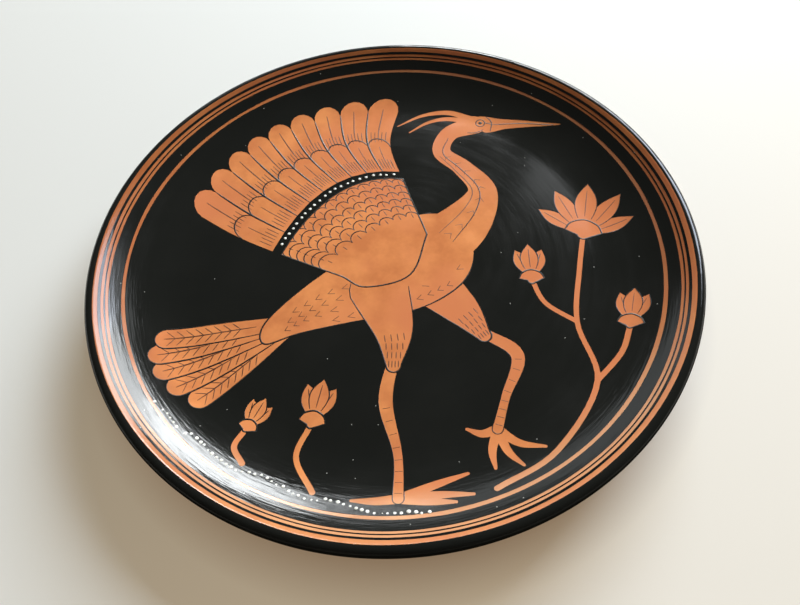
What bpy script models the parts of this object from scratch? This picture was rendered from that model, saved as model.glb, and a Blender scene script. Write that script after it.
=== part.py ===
"""A painted earthenware plate: a thrown clay dish on a luted foot ring, with coats of fired black slip.

The dish and the foot are turned from their cross-sections about the Z axis, in metres, +Z up. The origin
is on the axis, in the plane that the foot stands on. The coats of slip follow the clay at a fixed
distance, and the bands are counted inwards from the edge, so a change to the clay carries every coat.
"""

import math

import bmesh
import bpy

MM = 0.001

# The dish: a flat floor, a cove, and a straight wall that ends in a thick upright lip
PLATE_RADIUS = 140.0 * MM
WALL_WIDTH = 40.0 * MM
CLAY_THICKNESS = 7.2 * MM
COVE_RADIUS = 50.0 * MM
WALL_SLOPE = math.radians(32.0)
LIP_TOP_ROUND = 2.0 * MM
LIP_UNDER_ROUND = 3.0 * MM

# The foot ring, which stands on a flat face and is let into a groove under the floor
FOOT_HEIGHT = 12.8 * MM
FOOT_INSET = 13.0 * MM
FOOT_SPLAY = 3.0 * MM
FOOT_FACE_WIDTH = 7.0 * MM
FOOT_NECK_WIDTH = 8.5 * MM
FOOT_EDGE_ROUND = 2.5 * MM
GROOVE_DEPTH = 2.2 * MM
LUTE_THICKNESS = 0.6 * MM

# The bands painted on the upper side, counted from the plate's edge inwards: black, then clay by turns
LIP_BLACK_WIDTH = 2.7 * MM
OUTER_STRIPE_WIDTH = 2.4 * MM
OUTER_LINE_WIDTH = 0.8 * MM
MIDDLE_STRIPE_WIDTH = 1.1 * MM
INNER_LINE_WIDTH = 0.7 * MM
INNER_STRIPE_WIDTH = 0.9 * MM
BLACK_BAND_WIDTH = 4.7 * MM
THIN_RING_WIDTH = 1.8 * MM

# Fired slip is far thinner than this on the real plate
COAT_THICKNESS = 0.4 * MM
# The space kept between a coat or a luted piece and the clay that carries it
SEAT_GAP = 0.3 * MM
# How far the black stops above the face that the foot stands on
BARE_FOOT_HEIGHT = 2.0 * MM

SEGMENTS = 64
COVE_STEPS = 4
ROUND_STEPS = 5
SHARP_ANGLE = math.radians(40.0)
MERGE_DISTANCE = 0.0001 * MM

CLAY_COLOUR = (0.63, 0.24, 0.09, 1.0)
LUTE_COLOUR = (0.45, 0.17, 0.07, 1.0)
BLACK_COLOUR = (0.012, 0.013, 0.012, 1.0)
CLAY_ROUGHNESS = 0.55
LUTE_ROUGHNESS = 0.8
BLACK_ROUGHNESS = 0.25

# Sizes that follow from those above
FLOOR_RADIUS = PLATE_RADIUS - WALL_WIDTH
FLOOR_HEIGHT = FOOT_HEIGHT + CLAY_THICKNESS
FOOT_RADIUS = FLOOR_RADIUS - FOOT_INSET
NECK_RADIUS = FOOT_RADIUS - FOOT_SPLAY
NECK_INSIDE_RADIUS = NECK_RADIUS - FOOT_NECK_WIDTH
FOOT_TOP = FOOT_HEIGHT + GROOVE_DEPTH - LUTE_THICKNESS - 2.0 * SEAT_GAP


def clear_scene():
    for obj in list(bpy.data.objects):
        bpy.data.objects.remove(obj)


def make_material(name, colour, roughness):
    material = bpy.data.materials.new(name)
    material.use_nodes = True
    shader = material.node_tree.nodes["Principled BSDF"]
    shader.inputs["Base Color"].default_value = colour
    shader.inputs["Roughness"].default_value = roughness
    shader.inputs["Metallic"].default_value = 0.0
    return material


def rounded(corners):
    """Points along a line of (radius, height, round, steps) corners, each corner replaced by its arc."""
    points = []
    for i, (r, z, round_radius, steps) in enumerate(corners):
        if steps == 0:
            points.append((r, z))
            continue
        before, after = corners[i - 1], corners[i + 1]
        enter = math.atan2(z - before[1], r - before[0])
        leave = math.atan2(after[1] - z, after[0] - r)
        turn = math.remainder(leave - enter, math.tau)
        side = math.copysign(round_radius, turn)
        back = round_radius * math.tan(abs(turn) / 2.0)
        centre_r = r - back * math.cos(enter) - side * math.sin(enter)
        centre_z = z - back * math.sin(enter) + side * math.cos(enter)
        for step in range(steps + 1):
            heading = enter + turn * step / steps
            points.append((centre_r + side * math.sin(heading), centre_z - side * math.cos(heading)))
    return points


def between(points, start, end):
    """The stretch of a line of points whose first coordinates lie between two values, cut at both."""
    low, high = min(start, end), max(start, end)
    kept = []
    for a, b in zip(points, points[1:]):
        if low <= a[0] <= high:
            kept.append(a)
        if a[0] == b[0]:
            continue
        shares = sorted((edge - a[0]) / (b[0] - a[0]) for edge in (start, end))
        for share in shares:
            if 0.0 < share < 1.0:
                kept.append((a[0] + share * (b[0] - a[0]), a[1] + share * (b[1] - a[1])))
    if low <= points[-1][0] <= high:
        kept.append(points[-1])
    return kept


def turn_solid(name, outline, material):
    """Spins an outline about the Z axis. An outline that starts and ends on the axis closes there."""
    mesh = bpy.data.meshes.new(name)
    bm = bmesh.new()
    verts = [bm.verts.new((r, 0.0, z)) for r, z in outline]
    edges = [bm.edges.new(pair) for pair in zip(verts, verts[1:])]
    if outline[0][0] > 0.0:
        edges.append(bm.edges.new((verts[-1], verts[0])))
    bmesh.ops.spin(
        bm,
        geom=verts + edges,
        cent=(0.0, 0.0, 0.0),
        axis=(0.0, 0.0, 1.0),
        angle=math.tau,
        steps=SEGMENTS,
        use_merge=True,
    )
    bmesh.ops.remove_doubles(bm, verts=bm.verts, dist=MERGE_DISTANCE)
    bmesh.ops.recalc_face_normals(bm, faces=bm.faces)
    bm.to_mesh(mesh)
    bm.free()
    mesh.shade_smooth()
    mesh.set_sharp_from_angle(angle=SHARP_ANGLE)
    mesh.materials.append(material)
    obj = bpy.data.objects.new(name, mesh)
    bpy.context.scene.collection.objects.link(obj)


def wall_crossing(height_over_clay):
    """Height where the wall's sloping line, moved out from the clay, would cross the axis."""
    knee = FLOOR_RADIUS + COVE_RADIUS * math.tan(WALL_SLOPE / 2.0)
    return FLOOR_HEIGHT - knee * math.tan(WALL_SLOPE) + height_over_clay / math.cos(WALL_SLOPE)


def upper_side(distance):
    """Corners of the dish's upper side, from the axis to the lip's under edge, moved out by a distance."""
    floor = FLOOR_HEIGHT + distance
    rim = PLATE_RADIUS + distance
    slope = math.tan(WALL_SLOPE)
    upper = wall_crossing(distance)
    under = wall_crossing(-CLAY_THICKNESS - distance)
    return [
        (0.0, floor, 0.0, 0),
        ((floor - upper) / slope, floor, COVE_RADIUS - distance, COVE_STEPS),
        (rim, upper + rim * slope, LIP_TOP_ROUND + distance, ROUND_STEPS),
        (rim, under + rim * slope, LIP_UNDER_ROUND + distance, ROUND_STEPS),
    ]


def under_side(distance):
    """Corners of the dish's under side, from the lip to the axis, moved out by a distance."""
    floor = FOOT_HEIGHT - distance
    knee = (floor - wall_crossing(-CLAY_THICKNESS - distance)) / math.tan(WALL_SLOPE)
    return [
        (knee, floor, COVE_RADIUS + CLAY_THICKNESS + distance, COVE_STEPS),
        (0.0, floor, 0.0, 0),
    ]


def dish_sides(distance):
    """The dish's upper line, from the axis over the lip's top, and its lower line, back to the axis."""
    points = rounded(upper_side(distance) + under_side(distance))
    upper_count = 1 + (COVE_STEPS + 1) + (ROUND_STEPS + 1)
    return points[:upper_count], points[upper_count:]


def foot_face_radius(height):
    """Radius of the foot's sloping outer face at a height."""
    return FOOT_RADIUS - FOOT_SPLAY * height / FOOT_TOP


def foot_outer_face(distance):
    """Corners of the foot's outer face, from its neck to the face it stands on, moved out by a distance."""
    return [
        (NECK_RADIUS + distance, FOOT_TOP, 0.0, 0),
        (FOOT_RADIUS + distance, 0.0, FOOT_EDGE_ROUND + distance, ROUND_STEPS),
        (FOOT_RADIUS - FOOT_FACE_WIDTH, 0.0, 0.0, 0),
    ]


def coat_outline(line_at):
    """Closed outline of a coat, given a function that returns the clay's line moved out by a distance."""
    return line_at(SEAT_GAP) + line_at(SEAT_GAP + COAT_THICKNESS)[::-1]


def make_plate_body(clay):
    """The thrown dish, with a groove under its floor for the foot."""
    roof = FOOT_HEIGHT + GROOVE_DEPTH
    groove_outside = foot_face_radius(FOOT_HEIGHT) + SEAT_GAP
    groove_inside = NECK_INSIDE_RADIUS - SEAT_GAP
    groove = [
        (groove_outside, FOOT_HEIGHT, 0.0, 0),
        (groove_outside, roof, 0.0, 0),
        (groove_inside, roof, 0.0, 0),
        (groove_inside, FOOT_HEIGHT, 0.0, 0),
    ]
    cove, middle = under_side(0.0)
    turn_solid("plate_body", rounded(upper_side(0.0) + [cove] + groove + [middle]), clay)


def make_foot_ring(clay):
    neck_inside = (NECK_INSIDE_RADIUS, FOOT_TOP, 0.0, 0)
    turn_solid("foot_ring", rounded(foot_outer_face(0.0) + [neck_inside]), clay)


def make_luting_slip(lute):
    """The flat ring of wet clay that bonds the foot into its groove."""
    low = FOOT_TOP + SEAT_GAP
    high = low + LUTE_THICKNESS
    outline = [
        (NECK_RADIUS, high),
        (NECK_RADIUS, low),
        (NECK_INSIDE_RADIUS, low),
        (NECK_INSIDE_RADIUS, high),
    ]
    turn_solid("luting_slip", outline, lute)


def make_upper_coat(name, inner_radius, outer_radius, black):
    """A coat on the upper side between two radii."""

    def line_at(distance):
        upper, _ = dish_sides(distance)
        return between(upper, inner_radius, outer_radius)

    turn_solid(name, coat_outline(line_at), black)


def make_outside_coat(inner_radius, black):
    """The coat that starts on top of the lip and runs down the outside to the foot's own coat."""
    coat_underside = FOOT_HEIGHT - SEAT_GAP - COAT_THICKNESS
    foot_coat_face = foot_face_radius(coat_underside) + SEAT_GAP + COAT_THICKNESS

    def line_at(distance):
        upper, lower = dish_sides(distance)
        over_lip = between(upper, inner_radius, math.inf)
        down_outside = between(lower, math.inf, foot_coat_face + SEAT_GAP)
        return over_lip + down_outside

    turn_solid("outside_gloss", coat_outline(line_at), black)


def make_foot_coat(black):
    """The coat round the foot's outer face, which stops short of the ground."""

    def line_at(distance):
        height_first = [(z, r) for r, z in rounded(foot_outer_face(distance))]
        return [(r, z) for z, r in between(height_first, FOOT_HEIGHT - SEAT_GAP, BARE_FOOT_HEIGHT)]

    turn_solid("foot_gloss", coat_outline(line_at), black)


def main():
    clear_scene()
    clay = make_material("fired_clay", CLAY_COLOUR, CLAY_ROUGHNESS)
    lute = make_material("luting_slip", LUTE_COLOUR, LUTE_ROUGHNESS)
    black = make_material("black_gloss", BLACK_COLOUR, BLACK_ROUGHNESS)

    make_plate_body(clay)
    make_foot_ring(clay)
    make_luting_slip(lute)

    lip_black = PLATE_RADIUS - LIP_BLACK_WIDTH
    outer_line = lip_black - OUTER_STRIPE_WIDTH
    inner_line = outer_line - OUTER_LINE_WIDTH - MIDDLE_STRIPE_WIDTH
    black_band = inner_line - INNER_LINE_WIDTH - INNER_STRIPE_WIDTH
    tondo = black_band - BLACK_BAND_WIDTH - THIN_RING_WIDTH
    make_upper_coat("tondo_gloss", 0.0, tondo, black)
    make_upper_coat("wall_gloss_band", black_band - BLACK_BAND_WIDTH, black_band, black)
    make_upper_coat("inner_rim_line", inner_line - INNER_LINE_WIDTH, inner_line, black)
    make_upper_coat("outer_rim_line", outer_line - OUTER_LINE_WIDTH, outer_line, black)
    make_outside_coat(lip_black, black)
    make_foot_coat(black)


main()
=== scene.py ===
# %% [markdown]
# # A plate in the red-figure technique
# The potter throws a shallow dish of orange clay and lutes a foot ring under it. The painter then covers
# the clay with a fine black slip, but leaves bare the rim's stripes and every shape of the picture, so
# that the "red" of the picture is the clay itself. Inner details are thin strokes of slip on the clay,
# and a few dots are laid on in white at the end. We build the plate in that order: clay, black coats
# with windows in them, strokes, dots, and then the light and the camera.

# %% Load the frame
import math

import bmesh
import bpy
import numpy as np
from mathutils import Matrix, Vector, geometry, kdtree, noise


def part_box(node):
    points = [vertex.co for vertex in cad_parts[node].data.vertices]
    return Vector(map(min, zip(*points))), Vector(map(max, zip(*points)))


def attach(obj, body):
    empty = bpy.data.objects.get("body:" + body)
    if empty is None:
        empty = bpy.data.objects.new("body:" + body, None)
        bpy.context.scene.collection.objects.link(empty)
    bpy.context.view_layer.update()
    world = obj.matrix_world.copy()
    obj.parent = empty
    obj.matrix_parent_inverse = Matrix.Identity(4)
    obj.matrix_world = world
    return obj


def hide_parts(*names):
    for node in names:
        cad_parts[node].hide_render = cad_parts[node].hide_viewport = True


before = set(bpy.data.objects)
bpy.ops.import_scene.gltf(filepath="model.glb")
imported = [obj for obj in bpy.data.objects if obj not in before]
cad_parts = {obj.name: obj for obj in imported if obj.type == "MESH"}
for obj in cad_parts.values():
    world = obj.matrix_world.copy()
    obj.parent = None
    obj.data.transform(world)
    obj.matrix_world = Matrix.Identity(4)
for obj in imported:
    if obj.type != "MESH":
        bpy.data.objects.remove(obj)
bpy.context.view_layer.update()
MM = 0.001
print("nodes in the frame:", sorted(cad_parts))

# %% [markdown]
# ## Sizes that come from the frame
# The turned solids already hold the plate's sizes, so we read them from the solids' boxes. A coat of slip
# is far thinner in truth than its solid, so the clay here reaches almost as far out as the solids' coat.
# The rounds of the cove and the lip can't be read from a box, so they are values of their own.

# %% Sizes of the dish
FILM = 0.08 * MM
SINK = 0.03 * MM
SEAT_GAP = 0.3 * MM
WALL_WIDTH = 44.35 * MM
COVE_RADIUS = 65.5 * MM
OUTSIDE_WIDTH = 25.4 * MM
OUTSIDE_COVE_RADIUS = 57.0 * MM
OUTSIDE_SLOPE = math.radians(32.0)
LIP_TOP_ROUND = 3.0 * MM
LIP_UNDER_ROUND = 5.0 * MM

FOOT_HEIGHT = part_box("plate_body")[0].z
FLOOR_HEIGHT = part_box("tondo_gloss")[0].z - SEAT_GAP
FLOOR_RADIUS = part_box("plate_body")[1].x - WALL_WIDTH
RIM_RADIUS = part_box("outside_gloss")[1].x - FILM
WALL_SLOPE = math.asin((RIM_RADIUS - FLOOR_RADIUS - LIP_TOP_ROUND) / (COVE_RADIUS + LIP_TOP_ROUND))
print(f"rim {RIM_RADIUS / MM:.1f} mm, floor {FLOOR_RADIUS / MM:.1f} mm at {FLOOR_HEIGHT / MM:.1f} mm")

# %% [markdown]
# ## The line of the dish
# In section, the potter's line is a flat floor that rises through one long cove straight into the round
# of a thick lip. The outside has its own slope and a bend near the foot. A curve drawn by hand could give
# that line, but corners that each have a round keep their sizes, as a potter's template does. One function
# gives the line moved out from the clay by any distance, so the coats of slip can follow the clay exactly.

# %% Corners with arcs
ARC_STEP = math.radians(4.0)
ARC_CHORD = 1.2 * MM


def rounded(corners):
    """Points along a line of (radius, height, round) corners, each corner replaced by its arc."""
    points = []
    for i, (r, z, round_radius) in enumerate(corners):
        if round_radius == 0.0:
            points.append((r, z))
            continue
        before, after = corners[i - 1], corners[i + 1]
        enter = math.atan2(z - before[1], r - before[0])
        leave = math.atan2(after[1] - z, after[0] - r)
        bend = math.remainder(leave - enter, math.tau)
        side = math.copysign(round_radius, bend)
        back = round_radius * math.tan(abs(bend) / 2.0)
        centre_r = r - back * math.cos(enter) - side * math.sin(enter)
        centre_z = z - back * math.sin(enter) + side * math.cos(enter)
        steps = math.ceil(abs(bend) * max(1.0 / ARC_STEP, round_radius / ARC_CHORD))
        for step in range(steps + 1):
            heading = enter + bend * step / steps
            points.append((centre_r + side * math.sin(heading), centre_z - side * math.cos(heading)))
    return points


# %% The dish's line at a distance from the clay
def wall_height(radius, distance):
    """Height of the wall's slope at a radius, moved out from the clay by a distance."""
    knee = FLOOR_RADIUS + COVE_RADIUS * math.tan(WALL_SLOPE / 2.0)
    return FLOOR_HEIGHT + (radius - knee) * math.tan(WALL_SLOPE) + distance / math.cos(WALL_SLOPE)


def outside_height(radius, distance):
    """The same for the slope of the outside, which moves downwards."""
    knee = RIM_RADIUS - OUTSIDE_WIDTH
    return FOOT_HEIGHT + (radius - knee) * math.tan(OUTSIDE_SLOPE) - distance / math.cos(OUTSIDE_SLOPE)


def dish_sides(distance):
    """The line from the axis to the lip's outermost point, and from there back along the outside."""
    floor, under = FLOOR_HEIGHT + distance, FOOT_HEIGHT - distance
    rim = RIM_RADIUS + distance
    knee = (floor - wall_height(0.0, distance)) / math.tan(WALL_SLOPE)
    outside_knee = (under - outside_height(0.0, distance)) / math.tan(OUTSIDE_SLOPE)
    corners = [
        (0.0, floor, 0.0),
        (knee, floor, COVE_RADIUS - distance),
        (rim, wall_height(rim, distance), LIP_TOP_ROUND + distance),
        (rim, outside_height(rim, distance), LIP_UNDER_ROUND + distance),
        (outside_knee, under, OUTSIDE_COVE_RADIUS + distance),
        (0.0, under, 0.0),
    ]
    points = rounded(corners)
    outermost = max(range(len(points)), key=lambda i: (round(points[i][0], 7), points[i][1]))
    return points[: outermost + 1], points[outermost:]


print(f"lip top at {max(z for _, z in dish_sides(0.0)[0]) / MM:.1f} mm")

# %% [markdown]
# ## Turning shapes with Geometry Nodes
# Anything thrown on a wheel is one outline turned about an axis. Blender has a Screw modifier and a spin
# operator for that, but a Geometry Nodes tree can also let a painted edge waver as it goes round, as a
# brush does on a turning wheel. The tree makes a grid with one column for each step round the axis,
# gives every column a copy of the outline, and turns it. An outline point may carry a direction in which
# the brush wavers. First come helpers that keep the trees of this lesson short.

# %% Nodes and their sockets
def feed(tree, node, inputs):
    """Sets a node's inputs, by name or number, to plain values or to the outputs of other nodes."""
    for key, value in inputs.items():
        if isinstance(value, bpy.types.NodeSocket):
            tree.links.new(value, node.inputs[key])
        else:
            node.inputs[key].default_value = value


def add_node(tree, kind, inputs=None, **settings):
    """A new node with its settings, such as its operation, and its inputs."""
    made = tree.nodes.new(kind)
    for key, value in settings.items():
        setattr(made, key, value)
    feed(tree, made, inputs or {})
    return made


def math_node(tree, operation, *operands):
    """The result of a Math node whose operands are outputs or numbers."""
    return add_node(tree, "ShaderNodeMath", dict(enumerate(operands)), operation=operation).outputs[0]


def vector_node(tree, operation, first, second):
    """The result of a Vector Math node; the second operand of a scale is a number."""
    inputs = {0: first, "Scale" if operation == "SCALE" else 1: second}
    return add_node(tree, "ShaderNodeVectorMath", inputs, operation=operation).outputs[0]


# %% How a tree starts and ends
def start_tree(name, sizes):
    """A Geometry Nodes tree with a geometry input and output and an input for each named size."""
    tree = bpy.data.node_groups.new(name, "GeometryNodeTree")
    tree.interface.new_socket("Geometry", in_out="INPUT", socket_type="NodeSocketGeometry")
    for size_name, kind in sizes.items():
        tree.interface.new_socket(size_name, in_out="INPUT", socket_type="NodeSocket" + kind)
    tree.interface.new_socket("Geometry", in_out="OUTPUT", socket_type="NodeSocketGeometry")
    return tree, add_node(tree, "NodeGroupInput").outputs


def end_tree(tree, made, material):
    """Ends a tree: real geometry, smooth shading, material."""
    real = add_node(tree, "GeometryNodeRealizeInstances", {"Geometry": made})
    smooth = add_node(tree, "GeometryNodeSetShadeSmooth", {"Geometry": real.outputs[0]})
    inputs = {"Geometry": smooth.outputs[0], "Material": material}
    paint = add_node(tree, "GeometryNodeSetMaterial", inputs)
    add_node(tree, "NodeGroupOutput", {"Geometry": paint.outputs[0]})
    print(f"{tree.name}: a tree of {len(tree.nodes)} nodes")
    return tree


# %% The tree that turns an outline
MERGE_DISTANCE = 0.001 * MM
HAND_DETAIL = 4.0


def make_turning_tree():
    sizes = {"Steps": "Int", "Waver": "Float", "Waver Bumps": "Float", "Material": "Material"}
    tree, given = start_tree("turn_on_the_wheel", sizes)
    size = add_node(tree, "GeometryNodeAttributeDomainSize", {0: given["Geometry"]})
    count = size.outputs["Point Count"]
    columns = math_node(tree, "ADD", given["Steps"], 1)
    grid = add_node(tree, "GeometryNodeMeshGrid", {"Vertices X": columns, "Vertices Y": count})

    index = add_node(tree, "GeometryNodeInputIndex").outputs[0]
    column = math_node(tree, "FLOOR", math_node(tree, "DIVIDE", math_node(tree, "ADD", index, 0.5), count))
    along = math_node(tree, "SUBTRACT", index, math_node(tree, "MULTIPLY", column, count))
    angle = math_node(tree, "MULTIPLY", math_node(tree, "DIVIDE", column, given["Steps"]), math.tau)

    def sample(field, data_type):
        inputs = {"Geometry": given["Geometry"], "Value": field, "Index": along}
        return add_node(tree, "GeometryNodeSampleIndex", inputs, data_type=data_type).outputs["Value"]

    def named(name, data_type):
        attribute = add_node(tree, "GeometryNodeInputNamedAttribute", {"Name": name}, data_type=data_type)
        return sample(attribute.outputs["Attribute"], data_type)

    way_round = {"X": math_node(tree, "COSINE", angle), "Y": math_node(tree, "SINE", angle)}
    inputs = {
        "Vector": add_node(tree, "ShaderNodeCombineXYZ", way_round).outputs[0],
        "W": named("edge_seed", "FLOAT"),
        "Scale": given["Waver Bumps"],
        "Detail": HAND_DETAIL,
    }
    hand = add_node(tree, "ShaderNodeTexNoise", inputs, noise_dimensions="4D").outputs[0]
    swing = math_node(tree, "MULTIPLY", math_node(tree, "SUBTRACT", hand, 0.5), given["Waver"])
    shift = vector_node(tree, "SCALE", named("edge_way", "FLOAT_VECTOR"), swing)
    outline = sample(add_node(tree, "GeometryNodeInputPosition").outputs[0], "FLOAT_VECTOR")
    inputs = {"Vector": vector_node(tree, "ADD", outline, shift), "Angle": angle}
    turned = add_node(tree, "ShaderNodeVectorRotate", inputs, rotation_type="Z_AXIS")
    inputs = {"Geometry": grid.outputs["Mesh"], "Position": turned.outputs[0]}
    place = add_node(tree, "GeometryNodeSetPosition", inputs)
    inputs = {"Geometry": place.outputs[0], "Distance": MERGE_DISTANCE}
    merge = add_node(tree, "GeometryNodeMergeByDistance", inputs)
    return end_tree(tree, merge.outputs[0], given["Material"])


turning_tree = make_turning_tree()


# %% From a tree to a plain mesh
SHARP_ANGLE = math.radians(40.0)


def add_object(name, data):
    """A new object in the scene that holds a mesh, a curve, a light or a camera."""
    made = bpy.data.objects.new(name, data)
    bpy.context.scene.collection.objects.link(made)
    return made


def face_outwards(mesh):
    """Turns a mesh's faces outwards and keeps its corners sharp."""
    shell = bmesh.new()
    shell.from_mesh(mesh)
    bmesh.ops.recalc_face_normals(shell, faces=shell.faces)
    shell.to_mesh(mesh)
    shell.free()
    mesh.shade_smooth()
    mesh.set_sharp_from_angle(angle=SHARP_ANGLE)


def run_tree(name, data, tree, values):
    """Runs a tree on a mesh or a curve and returns an object with the plain mesh that it makes."""
    base = add_object(name + "_base", data)
    modifier = base.modifiers.new("nodes", "NODES")
    modifier.node_group = tree
    for item in tree.interface.items_tree:
        if item.in_out == "INPUT" and item.name in values:
            modifier[item.identifier] = values[item.name]
    evaluated = base.evaluated_get(bpy.context.evaluated_depsgraph_get())
    mesh = bpy.data.meshes.new_from_object(evaluated)
    base.modifiers.remove(modifier)
    bpy.data.objects.remove(base)
    mesh.name = name
    face_outwards(mesh)
    print(f"{name}: {len(mesh.polygons)} faces")
    return add_object(name, mesh)


# %% Turn an outline, and hand a piece over
TURN_STEPS = 360
BRUSH_BUMPS = 2.2


def turn(name, outline, material, edges=(), waver=0.0, waver_bumps=BRUSH_BUMPS):
    """Turns an outline of (radius, height) points; edges are (point numbers, direction, seed)."""
    mesh = bpy.data.meshes.new(name)
    mesh.from_pydata([(r, 0.0, z) for r, z in outline], [], [])
    mesh.attributes.new("edge_way", "FLOAT_VECTOR", "POINT")
    mesh.attributes.new("edge_seed", "FLOAT", "POINT")
    for numbers, direction, edge_seed in edges:
        for number in numbers:
            mesh.attributes["edge_way"].data[number].vector = (direction[0], 0.0, direction[1])
            mesh.attributes["edge_seed"].data[number].value = edge_seed
    values = {"Steps": TURN_STEPS, "Waver": waver, "Waver Bumps": waver_bumps, "Material": material}
    return run_tree(name, mesh, turning_tree, values)


def hand_over(piece, node=None):
    """Ties a piece to the plate's one body, and hides the solid that it stands for."""
    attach(piece, "root")
    if node:
        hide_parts(node)


print(f"one step round the rim is {math.tau * RIM_RADIUS / TURN_STEPS / MM:.1f} mm")

# %% [markdown]
# ## Finishes
# Fired slip and clay aren't even paints. An image could show their streaks and drifts, but noise on Object
# coordinates has no seam and no fixed resolution. Streaks that run round the plate use the distance from
# the axis as one coordinate and the direction from the axis as the other two.

# %% Places on the plate
def object_place(tree):
    return add_node(tree, "ShaderNodeTexCoord").outputs["Object"]


def place_part(tree, axis):
    """One part, X, Y or Z, of the place on the object."""
    return add_node(tree, "ShaderNodeSeparateXYZ", {0: object_place(tree)}).outputs[axis]


def axis_distance(tree):
    """Distance from the plate's axis."""
    flat = vector_node(tree, "MULTIPLY", object_place(tree), (1.0, 1.0, 0.0))
    return add_node(tree, "ShaderNodeVectorMath", {0: flat}, operation="LENGTH").outputs["Value"]


def wheel_coordinates(tree, ridges, around):
    """Coordinates that are stretched round the axis: ridges per metre outwards, and bumps around."""
    radius = math_node(tree, "MAXIMUM", axis_distance(tree), MM)
    parts = {"X": math_node(tree, "MULTIPLY", radius, ridges)}
    for axis, target in (("X", "Y"), ("Y", "Z")):
        direction = math_node(tree, "DIVIDE", place_part(tree, axis), radius)
        parts[target] = math_node(tree, "MULTIPLY", direction, around)
    return add_node(tree, "ShaderNodeCombineXYZ", parts).outputs[0]


# %% Noise, ramps, blends and bumps
NOISE_MIDDLE = (0.3, 0.7)
COLOUR_A, COLOUR_B, COLOUR_RESULT = 6, 7, 2


def noise_on(tree, coordinates, scale=1.0, detail=3.0, roughness=0.5):
    inputs = {"Vector": coordinates, "Scale": scale, "Detail": detail, "Roughness": roughness}
    return add_node(tree, "ShaderNodeTexNoise", inputs).outputs["Fac"]


def spread(tree, value, start, end=(0.0, 1.0)):
    """Maps a value from one (low, high) range to another, held at both ends."""
    names = ("Value", "From Min", "From Max", "To Min", "To Max")
    inputs = dict(zip(names, (value, *start, *end)))
    return add_node(tree, "ShaderNodeMapRange", inputs).outputs["Result"]


def blend_colours(tree, share, first, second):
    """Mixes two colours, each an output or a plain colour."""
    inputs = {"Factor": share, COLOUR_A: first, COLOUR_B: second}
    return add_node(tree, "ShaderNodeMix", inputs, data_type="RGBA").outputs[COLOUR_RESULT]


def bump(tree, height, distance, strength, **below):
    """The normal of a bumpy surface; Normal may give that of the coarser bumps below."""
    inputs = {"Height": height, "Distance": distance, "Strength": strength, **below}
    return add_node(tree, "ShaderNodeBump", inputs).outputs["Normal"]


def new_finish(name):
    material = bpy.data.materials.new(name)
    material.use_nodes = True
    tree = material.node_tree
    return material, tree, tree.nodes["Principled BSDF"]


# %% [markdown]
# ### Black gloss
# The black is a slip of very fine clay that fires to a glassy skin. Brushed on as the plate turns, it has
# fine ridges, which draw the window's reflection out into streaks. It also has duller patches and a few
# pale specks, and handling has worn the lip's outer edge dull. A plain glossy black would mirror the
# window too cleanly, so ridges of two sizes tilt the surface, a Voronoi pattern puts a speck in some of
# its cells, and the worn edge is a ramp over the height.

# %% Specks and wear
SPECKS_PER_METRE = 95.0
SPECK_EDGE = (0.014, 0.027)
SPECKLESS_SHARE = {"2D": 0.88, "3D": 0.5}
WEAR_STARTS = (26.0 * MM, 28.5 * MM)
WEAR_ENDS = (33.0 * MM, 34.1 * MM)


def speck_marks(tree, dimensions):
    """Marks a round speck in some cells, which are in 2D on the flat coats and in 3D on the outside."""
    inputs = {"Vector": object_place(tree), "Scale": SPECKS_PER_METRE}
    cells = add_node(tree, "ShaderNodeTexVoronoi", inputs, voronoi_dimensions=dimensions)
    near_middle = spread(tree, cells.outputs["Distance"], SPECK_EDGE, (1.0, 0.0))
    lot = add_node(tree, "ShaderNodeSeparateColor", {0: cells.outputs["Color"]}).outputs[0]
    chosen = math_node(tree, "GREATER_THAN", lot, SPECKLESS_SHARE[dimensions])
    return math_node(tree, "MULTIPLY", near_middle, chosen)


def edge_wear(tree):
    """How worn the black is at each height of the lip."""
    height = place_part(tree, "Z")
    from_below = spread(tree, height, WEAR_STARTS)
    return math_node(tree, "MULTIPLY", from_below, spread(tree, height, WEAR_ENDS, (1.0, 0.0)))


# %% Black gloss
BLACK = (0.0092, 0.0098, 0.0086, 1.0)
BLACK_WORN = (0.0110, 0.0114, 0.0100, 1.0)
SPECK = (0.34, 0.34, 0.31, 1.0)
BROAD_RIDGES = (260.0, 2.4)
BROAD_RIDGE_HEIGHT = 0.05 * MM
BROAD_RIDGE_STRENGTH = 0.5
FINE_RIDGES = (1000.0, 8.0)
FINE_RIDGE_NOISE = {"detail": 2.0, "roughness": 0.6}
FINE_RIDGE_HEIGHT = 0.072 * MM
FLOOR_STREAKS = 0.35
STREAKED_RADII = (88.0 * MM, 112.0 * MM)
PATCHES_PER_METRE = 38.0
WORN_PATCHES = (0.45, 0.75)
RIDGE_DULLING = (0.0, 0.05)
PATCH_DULLING = (0.0, 0.04)
GLOSS_ROUGHNESS, WORN_ROUGHNESS = 0.08, 0.40
GLOSS_SPECULAR, WORN_SPECULAR = 0.5, 0.0


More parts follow.
